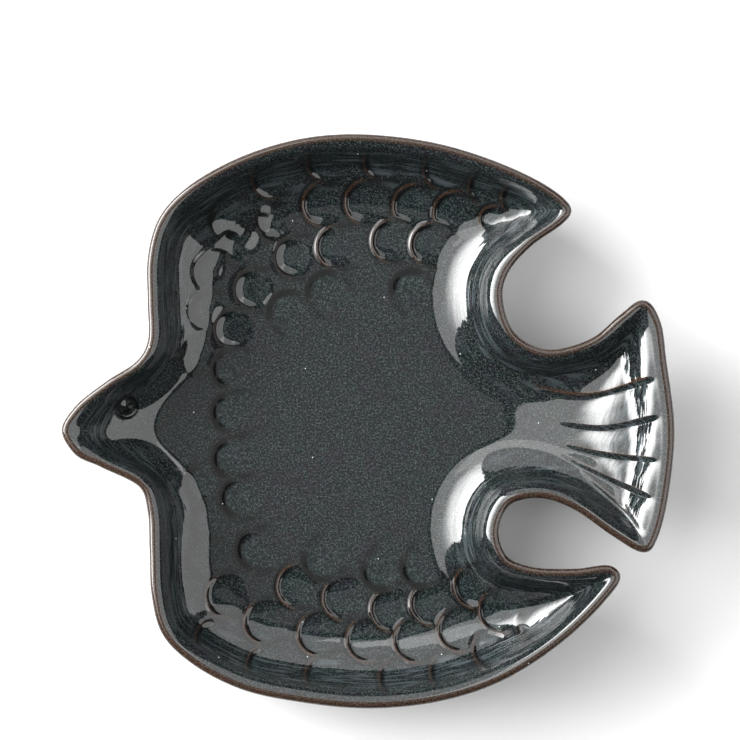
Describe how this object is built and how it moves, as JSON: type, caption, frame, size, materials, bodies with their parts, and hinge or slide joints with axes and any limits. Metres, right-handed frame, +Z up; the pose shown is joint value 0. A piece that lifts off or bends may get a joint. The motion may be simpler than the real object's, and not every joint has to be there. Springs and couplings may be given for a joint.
{
  "type": "sauce dish",
  "caption": "Shallow stoneware sauce dish in the outline of a flying bird, with a scalloped feather relief, a fluted tail and an impressed eye in its well, standing on an oval foot ring.",
  "frame": {"origin": "on the table, under the middle of the dish's box", "axes": "+X from the beak to the tail, +Z up out of the well, +Y completes a right-handed frame"},
  "size_m": [0.153, 0.1434, 0.024],
  "materials": {
    "stoneware": "fired brown stoneware under the glaze",
    "bare_foot": "bare fired stoneware, sponged smooth",
    "well_glaze": "glossy charcoal-teal reactive glaze, breaking brown on edges",
    "outside_glaze": "glossy charcoal-teal reactive glaze, breaking brown on the lip"
  },
  "bodies": {
    "root": {"stoneware_body": "stoneware", "foot_ring": "bare_foot", "well_glaze": "well_glaze", "outside_glaze": "outside_glaze", "base_glaze": "outside_glaze"}
  },
  "joints": []
}
